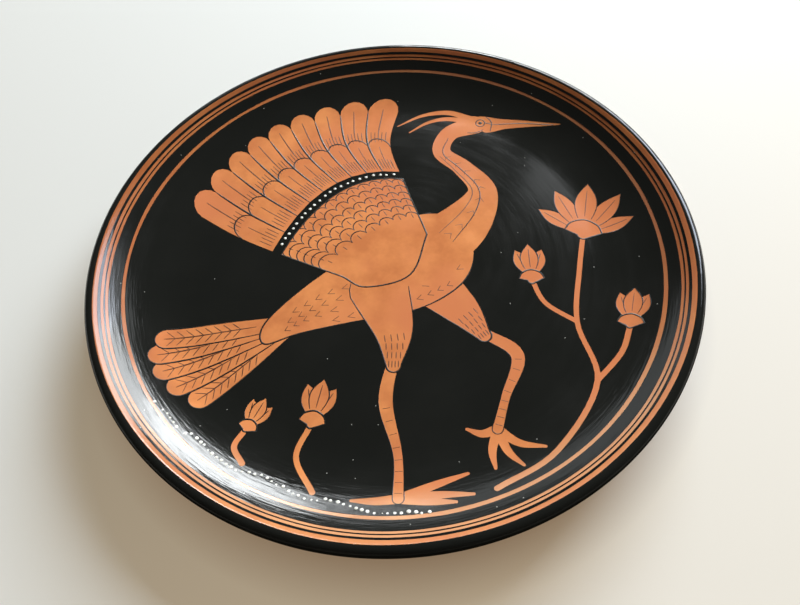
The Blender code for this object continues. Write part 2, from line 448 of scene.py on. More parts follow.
def make_black_gloss(name, worn_edge=False):
    """Shiny black, which handling may have dulled along the lip's edge."""
    material, tree, shader = new_finish(name)
    broad = noise_on(tree, wheel_coordinates(tree, *BROAD_RIDGES))
    fine = noise_on(tree, wheel_coordinates(tree, *FINE_RIDGES), **FINE_RIDGE_NOISE)
    patches = noise_on(tree, object_place(tree), PATCHES_PER_METRE)
    ground = blend_colours(tree, spread(tree, patches, WORN_PATCHES), BLACK, BLACK_WORN)
    specks = speck_marks(tree, "3D" if worn_edge else "2D")
    ridge_dulling = spread(tree, broad, NOISE_MIDDLE, RIDGE_DULLING)
    dulling = math_node(tree, "ADD", ridge_dulling, spread(tree, patches, NOISE_MIDDLE, PATCH_DULLING))
    roughness = GLOSS_ROUGHNESS
    feed(tree, shader, {"Specular IOR Level": GLOSS_SPECULAR})
    if worn_edge:
        wear = edge_wear(tree)
        roughness = spread(tree, wear, (0.0, 1.0), (GLOSS_ROUGHNESS, WORN_ROUGHNESS))
        specular = spread(tree, wear, (0.0, 1.0), (GLOSS_SPECULAR, WORN_SPECULAR))
        feed(tree, shader, {"Specular IOR Level": specular})
    towards_rim = spread(tree, axis_distance(tree), STREAKED_RADII, (FLOOR_STREAKS, 1.0))
    coarse = bump(tree, broad, BROAD_RIDGE_HEIGHT, BROAD_RIDGE_STRENGTH)
    looks = {
        "Base Color": blend_colours(tree, specks, ground, SPECK),
        "Roughness": math_node(tree, "ADD", dulling, roughness),
        "Normal": bump(tree, fine, FINE_RIDGE_HEIGHT, towards_rim, Normal=coarse),
    }
    feed(tree, shader, looks)
    return material


black_gloss = make_black_gloss("black_gloss")
outside_gloss = make_black_gloss("outside_gloss", worn_edge=True)
print("black finishes:", black_gloss.name, outside_gloss.name)

# %% [markdown]
# ### Burnished clay
# The bare clay is burnished and washed with ochre, so it has a soft shine and drifts between salmon and
# gold. Light and shade are also painted into its colour by place. Painted shade makes it darker on the
# wall, most of all on the far side, on the left and on the rim's left, and darker in the thin ring on the
# window's side. Painted light makes the rim's right paler, and a painted sheen pales the near side of the
# wall and, less, of the rim. Painting such drifts by hand would need an unwrapped map. Here each is a
# colour that is washed over the clay by a product of ramps: over the radius, and from side to side.

# %% Painted light and shade by place
# A darker clay, blended in as painted shade on the wall, the left and the rim.
SHADED_CLAY = (0.24, 0.066, 0.020, 1.0)
# A paler clay, blended in as a painted sheen on the near side.
SHEEN_CLAY = (0.72, 0.47, 0.27, 1.0)
# A dark clay, blended in as painted shade in the thin ring.
RING_SHADE_CLAY = (0.22, 0.14, 0.095, 1.0)
WALL_RADII = (112.0 * MM, 123.0 * MM)
# Painted shade on the wall, over the radius.
WALL_SHADE = (0.0, 0.36)
RIM_RADII = (133.3 * MM, 134.6 * MM)
# Painted shade on the rim's left and painted light on its right.
RIM_SIDES = (-20.0 * MM, 110.0 * MM)
RIM_SHADE_AND_LIGHT = (0.16, -0.25)
# The painted shade is weaker on the near side than on the far side.
SHADE_SIDES = (-125.0 * MM, -55.0 * MM)
SHADE_SHARE = (0.35, 1.0)
# Painted sheen on the near side of the wall, weaker on the rim.
NEAR_SIDE = (-90.0 * MM, -45.0 * MM)
NEAR_SHEEN = (0.38, 0.0)
SHEEN_ON_RIM = (1.0, 0.3)
# Painted shade on the left of the wall.
LEFT_SIDE = (-120.0 * MM, -65.0 * MM)
LEFT_SHADE = (0.28, 0.0)
# Painted shade in the thin ring on the window's side.
RING_STARTS = (122.0 * MM, 124.0 * MM)
RING_ENDS = (127.0 * MM, 130.0 * MM)
RING_SHADE = (0.0, 0.32)
WINDOW_SIDE = (60.0 * MM, 140.0 * MM)


def wash_over(tree, base, colour, *shares):
    """Blends a colour over another by the product of several shares."""
    amount = shares[0]
    for share in shares[1:]:
        amount = math_node(tree, "MULTIPLY", amount, share)
    return blend_colours(tree, amount, base, colour)


def paint_light_by_place(tree, base):
    """The clay darkened by painted shade and lightened by painted light and sheen, by its place on the
    plate.
    """
    x, y, radius = place_part(tree, "X"), place_part(tree, "Y"), axis_distance(tree)
    # Painted shade on the wall and the rim's left, painted light on the rim's right, less on the near
    # side.
    rim_shade_and_light = spread(tree, x, RIM_SIDES, RIM_SHADE_AND_LIGHT)
    on_rim = math_node(tree, "MULTIPLY", spread(tree, radius, RIM_RADII), rim_shade_and_light)
    wall_and_rim_shade = math_node(tree, "ADD", spread(tree, radius, WALL_RADII, WALL_SHADE), on_rim)
    base = wash_over(tree, base, SHADED_CLAY, wall_and_rim_shade, spread(tree, y, SHADE_SIDES, SHADE_SHARE))
    on_wall = spread(tree, radius, WALL_RADII)
    less_on_rim = spread(tree, radius, RIM_RADII, SHEEN_ON_RIM)
    # Painted sheen on the near side of the wall and, less, of the rim.
    base = wash_over(tree, base, SHEEN_CLAY, on_wall, less_on_rim, spread(tree, y, NEAR_SIDE, NEAR_SHEEN))
    # Painted shade on the left of the wall.
    base = wash_over(tree, base, SHADED_CLAY, on_wall, spread(tree, x, LEFT_SIDE, LEFT_SHADE))
    # Painted shade in the thin ring on the window's side.
    from_inside = spread(tree, radius, RING_STARTS, RING_SHADE)
    from_outside = spread(tree, radius, RING_ENDS, (1.0, 0.0))
    by_window = spread(tree, math_node(tree, "ADD", x, y), WINDOW_SIDE)
    return wash_over(tree, base, RING_SHADE_CLAY, from_inside, from_outside, by_window)


# %% Clay
CLAY = (0.598, 0.197, 0.069, 1.0)
CLAY_GOLD = (0.790, 0.294, 0.100, 1.0)
CLAY_SALMON = (0.674, 0.221, 0.089, 1.0)
RAW_CLAY = (0.52, 0.19, 0.075, 1.0)
CLOUD_NOISE = {"scale": 55.0, "detail": 4.0, "roughness": 0.6}
CLOUD_EDGES = (0.35, 0.65)
DRIFT_NOISE = {"scale": 17.0}
DRIFT_EDGES = (0.45, 0.62)
GRAIN_NOISE = {"scale": 1900.0, "detail": 2.0}
GRAIN_HEIGHT = 0.012 * MM
GRAIN_STRENGTH = 0.5
WHEEL_RINGS = (900.0, 4.0)
WHEEL_RING_HEIGHT = 0.02 * MM
WHEEL_RING_STRENGTH = 0.4
SMOOTHER, ROUGHER = -0.05, 0.07
CLAY_SPECULAR = 0.4


def make_clay(name, first, second, third, roughness):
    material, tree, shader = new_finish(name)
    place = object_place(tree)
    drift = noise_on(tree, place, **DRIFT_NOISE)
    cloud = noise_on(tree, place, **CLOUD_NOISE)
    grain = noise_on(tree, place, **GRAIN_NOISE)
    rings = noise_on(tree, wheel_coordinates(tree, *WHEEL_RINGS))
    clouded = blend_colours(tree, spread(tree, cloud, CLOUD_EDGES), first, second)
    base = blend_colours(tree, spread(tree, drift, DRIFT_EDGES), clouded, third)
    ringed = bump(tree, rings, WHEEL_RING_HEIGHT, WHEEL_RING_STRENGTH)
    looks = {
        "Base Color": paint_light_by_place(tree, base),
        "Roughness": spread(tree, cloud, NOISE_MIDDLE, (roughness + SMOOTHER, roughness + ROUGHER)),
        "Normal": bump(tree, grain, GRAIN_HEIGHT, GRAIN_STRENGTH, Normal=ringed),
        "Specular IOR Level": CLAY_SPECULAR,
    }
    feed(tree, shader, looks)
    return material


clay = make_clay("burnished_clay", CLAY, CLAY_GOLD, CLAY_SALMON, roughness=0.14)
raw_clay = make_clay("raw_clay", RAW_CLAY, CLAY, RAW_CLAY, roughness=0.62)
print("clay finishes:", clay.name, raw_clay.name)

# %% [markdown]
# ### Slips for strokes and dots
# Relief slip is thick and black, dilute slip is thin and brown, and the white is a chalky slip added last.
# Each covers a little unevenly. One function makes all three from a colour, a roughness and the size of
# the unevenness, because they differ in nothing else.

# %% Slips
WHITE = (0.86, 0.84, 0.74, 1.0)
DILUTE = (0.085, 0.030, 0.012, 1.0)
THIN_SLIP = 1.35
THIN_PLACES = (0.35, 0.7)
SLIP_DULLING = 0.12
SLIP_BUMP_HEIGHT = 0.03 * MM
SLIP_BUMP_STRENGTH = 0.4


def make_slip(name, colour, roughness, clouds_per_metre):
    """A thick slip laid on in strokes or dots."""
    material, tree, shader = new_finish(name)
    cloud = noise_on(tree, object_place(tree), clouds_per_metre)
    paler = tuple(min(1.0, part * THIN_SLIP) for part in colour[:3]) + (1.0,)
    looks = {
        "Base Color": blend_colours(tree, spread(tree, cloud, THIN_PLACES), colour, paler),
        "Roughness": spread(tree, cloud, NOISE_MIDDLE, (roughness, roughness + SLIP_DULLING)),
        "Normal": bump(tree, cloud, SLIP_BUMP_HEIGHT, SLIP_BUMP_STRENGTH),
    }
    feed(tree, shader, looks)
    return material


relief_black = make_slip("relief_slip", BLACK, roughness=0.25, clouds_per_metre=700.0)
dilute_brown = make_slip("dilute_slip", DILUTE, roughness=0.4, clouds_per_metre=300.0)
added_white = make_slip("added_white", WHITE, roughness=0.55, clouds_per_metre=900.0)
print("slips:", relief_black.name, dilute_brown.name, added_white.name)

# %% [markdown]
# ## The thrown dish
# The dish is one closed outline from the middle of the floor, over the lip and back along the underside,
# with a groove for the foot. Inside the foot ring the turning tool leaves shallow rings. They could be
# bump in the material, but they catch the light at a low angle, so that stretch of the outline ripples.

# %% Turn the dish
FOOT_NECK_WIDTH = 8.5 * MM
RIPPLE_PITCH = 3.2 * MM
RIPPLE_HEIGHT = 0.10 * MM
RIPPLE_STEPS = 6

NECK_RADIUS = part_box("luting_slip")[1].x
NECK_INSIDE = NECK_RADIUS - FOOT_NECK_WIDTH
GROOVE_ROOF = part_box("luting_slip")[1].z
GROOVE_OUTSIDE = NECK_RADIUS + SEAT_GAP
GROOVE_INSIDE = NECK_INSIDE - SEAT_GAP


def turned_underside():
    """The rippled line under the floor, from the foot's groove to the axis."""
    count = int(GROOVE_INSIDE / RIPPLE_PITCH) * RIPPLE_STEPS
    line = []
    for step in range(1, count):
        r = GROOVE_INSIDE * (1.0 - step / count)
        line.append((r, FOOT_HEIGHT + RIPPLE_HEIGHT * math.sin(math.tau * step / RIPPLE_STEPS)))
    return line + [(0.0, FOOT_HEIGHT)]


upper_side, outside = dish_sides(0.0)
groove = [
    (GROOVE_OUTSIDE, FOOT_HEIGHT),
    (GROOVE_OUTSIDE, GROOVE_ROOF),
    (GROOVE_INSIDE, GROOVE_ROOF),
    (GROOVE_INSIDE, FOOT_HEIGHT),
]
dish_outline = upper_side + outside[1:-1] + groove + turned_underside()
hand_over(turn("clay_dish", dish_outline, clay), "plate_body")

# %% [markdown]
# ## The foot and its joint
# The foot is thrown as a ring of its own and luted into the groove with wet clay, which squeezes out into
# an uneven bead on the inside. It could be part of the dish's outline, but it is a separate piece of
# rougher clay, so ring and bead are turned apart. The bead's edges waver more and faster than a brushed
# line does, because a finger has only half smoothed it.

# %% Turn the foot
FOOT_FACE_WIDTH = 7.0 * MM
FOOT_EDGE_ROUND = 2.5 * MM
FOOT_INNER_ROUND = 1.6 * MM
FOOT_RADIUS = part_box("foot_ring")[1].x
FOOT_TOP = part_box("foot_ring")[1].z
FOOT_INSIDE = FOOT_RADIUS - FOOT_FACE_WIDTH


def foot_face(distance):
    """Corners of the foot's outer face, from its neck down to the ground, moved out by a distance."""
    return [
        (NECK_RADIUS + distance, FOOT_TOP, 0.0),
        (FOOT_RADIUS + distance, 0.0, FOOT_EDGE_ROUND + distance),
    ]


foot_inside = [(FOOT_INSIDE, 0.0, FOOT_INNER_ROUND), (NECK_INSIDE, FOOT_TOP, 0.0)]
foot_outline = rounded(foot_face(0.0) + foot_inside)
hand_over(turn("clay_foot", foot_outline + foot_outline[:1], raw_clay), "foot_ring")

# %% Squeeze the lute
LUTE_BEAD = 1.1 * MM
LUTE_REACH = 1.2 * LUTE_BEAD
LUTE_HOLLOW = 0.45 * LUTE_BEAD
LUTE_WAVER = 0.6 * MM
LUTE_BUMPS = 9.0

lute_outline = [
    (NECK_RADIUS, GROOVE_ROOF),
    (NECK_RADIUS, FOOT_TOP),
    (NECK_INSIDE, FOOT_TOP),
    (NECK_INSIDE, FOOT_HEIGHT - LUTE_BEAD),
    (NECK_INSIDE - LUTE_HOLLOW, FOOT_HEIGHT - 0.5 * LUTE_BEAD),
    (NECK_INSIDE - LUTE_REACH, FOOT_HEIGHT - SINK),
    (NECK_INSIDE - LUTE_REACH, FOOT_HEIGHT + RIPPLE_HEIGHT),
    (GROOVE_INSIDE, FOOT_HEIGHT + RIPPLE_HEIGHT),
    (GROOVE_INSIDE, GROOVE_ROOF),
]
lute_edges = [((3, 4), (0.0, 1.0), 3.0), ((5, 6), (1.0, 0.0), 5.0)]
lute = turn("lute_bead", lute_outline + lute_outline[:1], raw_clay, lute_edges, LUTE_WAVER, LUTE_BUMPS)
hand_over(lute, "luting_slip")

# %% [markdown]
# ## The coats that go right round
# With the plate turning on the wheel, the painter holds a loaded brush still and lays the bands and lines.
# A ring of colour in the clay's material could show them, but each is a coat of its own, so each is a thin
# closed film on the clay. Its two edges waver a little, and not in step, which keeps the lines from
# looking printed.

# %% A film between two radii
EDGE_ROOM = 0.4 * MM
SEED_STEP = 7.0


def between(points, start, end):
    """The stretch of a line whose first coordinates lie between two values, cut at both."""
    low, high = min(start, end), max(start, end)
    kept = []
    for a, b in zip(points, points[1:]):
        if low <= a[0] <= high:
            kept.append(a)
        if a[0] == b[0]:
            continue
        for share in sorted((edge - a[0]) / (b[0] - a[0]) for edge in (start, end)):
            if 0.0 < share < 1.0:
                kept.append((a[0] + share * (b[0] - a[0]), a[1] + share * (b[1] - a[1])))
    if low <= points[-1][0] <= high:
        kept.append(points[-1])
    return kept


def clear_of_ends(line):
    """A line without the points that a wavering end could run past."""
    ends = [Vector(line[0]), Vector(line[-1])]
    inner = [p for p in line[1:-1] if min((Vector(p) - end).length for end in ends) > EDGE_ROOM]
    return [line[0]] + inner + [line[-1]]


def lay_coat(name, node, line_at, wavering_ends, seed, waver, finish):
    """A closed film between the clay's line sunk a little and moved out; its chosen ends waver."""
    lower, upper = clear_of_ends(line_at(-SINK)), clear_of_ends(line_at(FILM))
    outline = lower + upper[::-1]
    outline.append(outline[0])
    last = len(outline) - 1
    start_way = (Vector(lower[1]) - Vector(lower[0])).normalized() * wavering_ends[0]
    end_way = (Vector(lower[-1]) - Vector(lower[-2])).normalized() * wavering_ends[1]
    ends = [
        ((0, last - 1, last), start_way, seed),
        ((len(lower) - 1, len(lower)), end_way, seed + SEED_STEP),
    ]
    hand_over(turn(name, outline, finish, ends, waver), node)


# %% Lay the bands and lines on the wall
LINES_INWARD = 0.5 * MM
OUTER_LINE_INWARD = 0.3 * MM
BAND_WAVER = 1.2 * MM
LINE_WAVER = 0.8 * MM
# Name, node, width, how far inward of the node, seed and waver.
BANDS = [
    ("wall_black_band", "wall_gloss_band", 4.85 * MM, LINES_INWARD, 2.0, BAND_WAVER),
    ("inner_black_line", "inner_rim_line", 0.55 * MM, LINES_INWARD, 5.0, LINE_WAVER),
    ("outer_black_line", "outer_rim_line", 1.04 * MM, OUTER_LINE_INWARD, 9.0, LINE_WAVER),
]


def lay_band(name, node, width, inward, seed, waver):
    """A band on the wall, whose outer radius is a little inward of its node's."""
    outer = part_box(node)[1].x - inward

    def line_at(distance):
        return between(dish_sides(distance)[0], outer - width, outer)

    lay_coat(name, node, line_at, (1.0, 1.0), seed, waver, black_gloss)


for band in BANDS:
    lay_band(*band)

# %% Coat the lip, the outside and the foot
LIP_BLACK_WIDTH = 3.5 * MM
BARE_FOOT_HEIGHT = 2.0 * MM
STRIPES_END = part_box("plate_body")[1].x - LIP_BLACK_WIDTH


def outside_line(distance):
    """From the lip's top over the edge and down the outside to the foot."""
    upper, outer = dish_sides(distance)
    return between(upper, STRIPES_END, math.inf) + between(outer, math.inf, NECK_RADIUS + FILM)[1:]


def foot_line(distance):
    """Down the foot's outer face, to where the clay is wiped bare."""
    corners = foot_face(distance) + [(FOOT_INSIDE, 0.0, 0.0)]
    height_first = [(z, r) for r, z in rounded(corners)]
    return [(r, z) for z, r in between(height_first, FOOT_HEIGHT, BARE_FOOT_HEIGHT)]


lay_coat("outside_black", "outside_gloss", outside_line, (1.0, 0.0), 31.0, BAND_WAVER, outside_gloss)
lay_coat("foot_black", "foot_gloss", foot_line, (0.0, 1.0), 43.0, BAND_WAVER, outside_gloss)

# %% [markdown]
# ## Drawing the picture
# The picture is clay that the black goes round. An image texture could hold it, but closed outlines stay
# sharp at any distance and become real windows in the coat. It is a crane among lotus stems, drawn in
# millimetres on the plate, with x to the right and y away from the viewer. A curve runs through a few
# given points, a limb is a brush path with a width at each point, and a petal is a leaf between two
# points.

# %% Curves and limbs
CAP_STEPS = 10


def curve(points, steps=8, closed=False):
    """A smooth line through given points."""
    p = [np.array(q, float) for q in points]
    n = len(p)
    spans = n if closed else n - 1
    line = []
    for i in range(spans):
        b, c = p[i], p[(i + 1) % n]
        a = p[i - 1] if closed or i > 0 else 2.0 * b - c
        d = p[(i + 2) % n] if closed or i + 2 < n else 2.0 * c - b
        for t in np.arange(steps) / steps:
            bend = 2.0 * a - 5.0 * b + 4.0 * c - d
            line.append(b + 0.5 * ((c - a) * t + bend * t**2 + (3.0 * b - 3.0 * c + d - a) * t**3))
    if not closed:
        line.append(p[-1])
    return np.array(line)


def sideways(line):
    """Unit vectors square to a line, on its left."""
    way = np.gradient(line, axis=0)
    way /= np.linalg.norm(way, axis=1)[:, None]
    return np.stack([-way[:, 1], way[:, 0]], axis=1)


def limb(points, half_widths, steps=8):
    """Closed outline of a path with a half-width at each point and round ends."""
    line = curve(points, steps)
    width = curve([(w, 0.0) for w in half_widths], steps)[:, 0]
    left = sideways(line)
    offset = left * width[:, None]

    def cap(end, first_side):
        first = math.atan2(first_side[1], first_side[0])
        turns = [first - math.pi * k / CAP_STEPS for k in range(1, CAP_STEPS)]
        return [line[end] + width[end] * np.array([math.cos(t), math.sin(t)]) for t in turns]

    there, back = list(line + offset), list((line - offset)[::-1])
    return np.array(there + cap(-1, left[-1]) + back + cap(0, -left[0]))


# %% Petals, rings and straight strokes
def petal(root, tip, width, fullest=0.6, steps=10):
    """Closed leaf outline between two points; fullest is where it is widest, as a share of its length."""
    root, tip = np.array(root, float), np.array(tip, float)
    along = tip - root
    left = np.array([-along[1], along[0]]) / np.linalg.norm(along)
    power = math.log(0.5) / math.log(fullest)
    shares = np.linspace(0.0, 1.0, 2 * steps + 1)
    half = 0.5 * width * np.sin(math.pi * shares**power)
    middle = root + along * shares[:, None]
    edge = left * half[:, None]
    return np.vstack([middle + edge, (middle - edge)[-2:0:-1]])


def ring(centre, radius, count=20):
    turns = np.linspace(0.0, math.tau, count + 1)
    return np.stack([centre[0] + radius * np.cos(turns), centre[1] + radius * np.sin(turns)], axis=1)


def straight(start, end, first=0.0, last=1.0, count=8):
    """Points on a straight line between two shares of its length."""
    shares = np.linspace(first, last, count)[:, None]
    return np.array(start, float) * (1.0 - shares) + np.array(end, float) * shares


def towards(point, degrees, length):
    angle = math.radians(degrees)
    return (point[0] + length * math.cos(angle), point[1] + length * math.sin(angle))


# %% [markdown]
# ### Shapes that hide strokes
# The painter works from front to back and simply stops a stroke where another shape begins. Here shapes go
# down from back to front, and each one hides the strokes that it covers, as a cut-out of paper would. That
# lets every feather be drawn whole, whatever lies over it.

# %% Strokes
HAIR = 0.46
FINE = 0.62
LINE = 0.82
BOLD = 1.05
bare = []
relief = []
dilute = []


def relief_line(line, width=FINE):
    relief.append((np.array(line), width))


def dilute_line(line, width=HAIR):
    dilute.append((np.array(line), width))


print("widths of strokes in mm:", HAIR, FINE, LINE, BOLD)

# %% Cut-outs
def inside_any(points, shapes):
    """Marks the points that lie inside at least one closed shape, by winding number."""
    found = np.zeros(len(points), bool)
    for outline in shapes:
        near = np.all((points >= outline.min(0)) & (points <= outline.max(0)), axis=1) & ~found
        if not near.any():
            continue
        x, y = points[near, 0][:, None], points[near, 1][:, None]
        a, b = outline, np.roll(outline, -1, axis=0)
        side = (b[:, 0] - a[:, 0]) * (y - a[:, 1]) - (x - a[:, 0]) * (b[:, 1] - a[:, 1])
        up = (a[:, 1] <= y) & (b[:, 1] > y) & (side > 0)
        down = (a[:, 1] > y) & (b[:, 1] <= y) & (side < 0)
        found[near] = (up.sum(1) - down.sum(1)) != 0
    return found


def visible_parts(stroke, outline):
    """The parts of a (line, width) stroke that lie outside an outline."""
    line, width = stroke
    parts, part = [], []
    for point, covered in zip(line, inside_any(line, [outline])):
        if not covered:
            part.append(point)
            continue
        parts.append(part)
        part = []
    parts.append(part)
    return [(np.array(p), width) for p in parts if len(p) > 1]


def cut_out(outline):
    """A bare shape, which hides what is drawn so far wherever it lies over it."""
    for strokes in (relief, dilute):
        strokes[:] = [part for stroke in strokes for part in visible_parts(stroke, outline)]
    bare.append(outline)


def outlined(outline, width=FINE):
    """A bare shape with a relief line round it."""
    cut_out(outline)
    relief_line(np.vstack([outline, outline[:1]]), width)


# %% [markdown]
# ### The lotus stems
# Thin stems with lotus flowers and buds fill the black beside the bird. Each flower could be drawn by
# hand, but it is always a fan of petals over a cup, so a table of petals (angle, length, width) lets one
# function draw flowers and buds alike.

# %% Draw the lotus
OPEN_LOTUS = [(-62, 0.86, 0.26), (62, 0.86, 0.26), (-32, 1.0, 0.31), (32, 1.0, 0.31), (0, 1.06, 0.36)]
LOTUS_BUD = [(-20, 0.94, 0.36), (20, 0.94, 0.36), (0, 1.05, 0.42)]
CUP_ANGLES = (-80, -45, 0, 45, 80)
CUP_REACH = 0.30
CUP_BASE = 0.1
CUP_ROUND = slice(10, 16)
PETAL_VEIN = (0.35, 0.86)
STEM_HALF_WIDTH = 1.2
# The stem's points, the flower's direction and size, and its petals.
PLANTS = [
    ([(33, -116.8), (59, -103.5), (82, -74), (80, -44), (87, -16), (93, 4)], 74, 30, OPEN_LOTUS),
    ([(82, -74), (95, -62), (102, -49)], 70, 19, LOTUS_BUD),
    ([(80, -44), (68, -33), (64, -20)], 86, 20, LOTUS_BUD),
    ([(-38, -112), (-45, -96), (-39, -82)], 74, 20, LOTUS_BUD),
    ([(-66, -98), (-70, -90), (-66, -82)], 60, 15, LOTUS_BUD),
]


def flower(base, direction, size, petals):
    """A lotus seen from the side, the back petals first."""
    for angle, length, width in petals:
        tip = towards(base, direction + angle, size * length)
        outlined(petal(base, tip, size * width))
        dilute_line(straight(base, tip, *PETAL_VEIN))
    cup = [towards(base, direction + angle, CUP_REACH * size) for angle in CUP_ANGLES]
    outlined(np.vstack([curve(cup, 4), ring(base, CUP_BASE * size)[CUP_ROUND]]), LINE)


for stem, *_ in PLANTS:
    bare.append(limb(stem, [STEM_HALF_WIDTH] * len(stem)))
for stem, direction, size, petals in PLANTS:
    flower(stem[-1], direction, size, petals)
print(f"lotus: {len(bare)} bare shapes")

# %% [markdown]
# ### The crane's legs and tail
# The far leg and the tail lie behind the body, so they are drawn first. A leg has a feathered thigh with a
# cuff of short strokes, a thin shank crossed by scutes, and toes. A tail feather has a quill and barbs.
# Both occur more than once, so each is a function that is given only its points.

# %% Legs
TOE_WIDTHS = [2.1, 1.7, 0.7]
SHANK_WIDTHS = [2.5, 3.1, 2.0, 2.3]
SCUTE_HALF = 1.5
SCUTES_START = 9
SCUTE_STEP = 2
CUFF_ROWS = ((-2, 3.2), (-4, 4.4), (-6, 5.6), (-8, 6.6))
CUFF_SIDES = (-0.66, -0.22, 0.22, 0.66)
CUFF_STROKE = 1.5


def leg(thigh, thigh_widths, shank, toes):
    """A feathered thigh, a thin shank with a knobbed joint, and toes; scutes are small cross strokes."""
    for toe in toes:
        bare.append(limb([shank[-1]] + toe, TOE_WIDTHS))
    outlined(limb(shank, SHANK_WIDTHS), HAIR)
    line = curve(shank)
    left = sideways(line)
    for k in range(SCUTES_START, len(line) - 1, SCUTE_STEP):
        relief_line([line[k] + SCUTE_HALF * left[k], line[k] - SCUTE_HALF * left[k]], HAIR)
    outlined(limb(thigh, thigh_widths), LINE)
    cuff = curve(thigh)
    left = sideways(cuff)
    for k, reach in CUFF_ROWS:
        for side in CUFF_SIDES:
            start = cuff[k] + side * reach * left[k]
            dilute_line(straight(start, start + CUFF_STROKE * (cuff[k] - cuff[k - 1])))


leg(
    [(16, -15), (30, -33), (38, -47)],
    [12.5, 8.4, 3.3],
    [(37, -45), (51, -58), (43, -77), (37.5, -91)],
    [
        [(45, -98), (55, -101)],
        [(40, -101), (45, -108)],
        [(34, -100), (34, -108)],
        [(31, -92.5), (25, -90)],
    ],
)
print(f"with the far leg: {len(bare)} bare shapes")

# %% Tail
TAIL_ROOT = (-44, -31)
TAIL_TIPS = [(-90, -70), (-100, -63), (-107, -54.5), (-110.5, -45.5), (-109, -36.5)]
PLUME_WIDTHS = [2.6, 4.68, 5.2]
PLUME_QUILL = (0.2, 0.94)
BARB_REACH = 0.72 * PLUME_WIDTHS[-1]
BARB_SHARES = np.arange(0.45, 0.95, 0.07)


def plume(root, tip):
    """A tail feather with a round end, its quill and its barbs."""
    root, tip = np.array(root, float), np.array(tip, float)
    way = (tip - root) / np.linalg.norm(tip - root)
    left = np.array([-way[1], way[0]])
    end = tip - PLUME_WIDTHS[-1] * way
    outlined(limb([root, 0.5 * (root + end), end], PLUME_WIDTHS), LINE)
    dilute_line(straight(root, tip, *PLUME_QUILL), FINE)
    for share in BARB_SHARES:
        quill = root + share * (end - root)
        for side in (-1.0, 1.0):
            dilute_line(straight(quill, quill + BARB_REACH * (way + side * left)))


for tip in TAIL_TIPS:
    plume(TAIL_ROOT, tip)
print(f"with the tail: {len(bare)} bare shapes")

# %% [markdown]
# ### The crane's body, neck and head
# The body could be put together from limbs, but one closed curve gives a cleaner outline. Rows of small
# hooks are its feathers. The near leg comes next, over the body. The neck and beak have no line round
# them, so that they join the body as one shape. Lines that only mark a fold or the eye are drawn last,
# from lists of given points.

# %% Body and near leg
BODY = [
    (36, 10), (39, -4), (31, -19), (11, -30), (-18, -34), (-44, -38), (-60, -42), (-60, -31), (-42, -13),
    (-18, 4), (8, 22), (25, 24),
]
BODY_ROWS = [
    [(31, 10), (14, -3), (-7, -11), (-31, -18), (-50, -28)],
    [(34, 0), (15, -10), (-9, -17), (-34, -24), (-52, -33)],
    [(33, -9), (13, -18), (-10, -23.5), (-37, -29.5), (-53, -37)],
    [(27, -18), (10, -25), (-12, -29.5), (-36, -34)],
]
HOOK_LENGTH = 0.9
HOOK_HALF_WIDTH = 1.5

outlined(curve(BODY, closed=True), LINE)
for row in BODY_ROWS:
    line = curve(row, 7)
    left = sideways(line)
    for k in range(1, len(line) - 1, 2):
        end = line[k] + HOOK_LENGTH * (line[k] - line[k + 1])
        dilute_line([end + HOOK_HALF_WIDTH * left[k], line[k], end - HOOK_HALF_WIDTH * left[k]], FINE)
leg(
    [(-7, -18), (-2, -40), (-3, -58)],
    [14, 9.2, 3.4],
    [(-3, -55), (-7.5, -75), (-4, -98), (-5, -117.2)],
    [
        [(11, -117), (24, -118)],
        [(10, -112.5), (23, -109)],
        [(7, -119.4), (17, -120.6)],
        [(-14, -117.4), (-23, -116.5)],
    ],
)
print(f"with the body and the near leg: {len(bare)} bare shapes")

# %% Neck and head
NECK = [(14, 0), (36, 16), (48.5, 36), (41, 53), (31, 66), (36.5, 79), (50, 84)]
NECK_WIDTHS = [17, 13.5, 7.6, 5.5, 4.8, 5.0, 6.6]
NECK_HOOKS = np.linspace(0.12, 0.62, 9)
HOOK_LEFT, HOOK_TIP, HOOK_RIGHT = 2.6, 0.4, -1.8
CREST = [
    ([(49, 89), (37, 95), (23, 94.5), (9, 88)], [1.9, 1.7, 1.1, 0.4]),
    ([(46, 88), (35, 90.5), (25, 88.5), (15, 82.5)], [1.8, 1.5, 1.0, 0.4]),
]
BEAK = [(53, 89.5), (65, 86), (80, 81), (95.5, 74), (80, 77.2), (67, 78.6), (55, 78)]
EYE = (54.0, 85.0)
EYE_RADIUS = 2.4
PUPIL_RADIUS = 0.5
HEAD_LINES = [
    [(60, 83), (76, 80.4), (92, 75)],
    [(56.4, 84.7), (58.5, 84), (60, 83)],
    [(57.5, 89), (60, 84.5), (58.5, 78.2)],
    [(46, 78.6), (50.5, 78.2), (55, 80)],
    [(30, 6), (43, 23), (47, 38), (39, 53.5), (31.5, 65), (35.5, 76)],
]
NECK_SHADE = [(24, 12), (38, 26), (43.5, 38), (36.6, 52), (29.6, 63)]

for plume_points, plume_widths in CREST:
    bare.append(limb(plume_points, plume_widths))
cut_out(curve(BEAK, 6, closed=True))
cut_out(limb(NECK, NECK_WIDTHS, 10))
for points in HEAD_LINES:
    relief_line(curve(points))
relief_line(ring(EYE, EYE_RADIUS))
relief_line(ring(EYE, PUPIL_RADIUS, 8), BOLD)
dilute_line(curve(NECK_SHADE))
neck_line = curve(NECK, 10)
neck_left = sideways(neck_line)
for share in NECK_HOOKS:
    k = int(share * (len(neck_line) - 1))
    before, left = neck_line[k - 1], neck_left[k]
    dilute_line([before + HOOK_LEFT * left, neck_line[k] + HOOK_TIP * left, before + HOOK_RIGHT * left])
print(f"with the neck and head: {len(bare)} bare shapes")

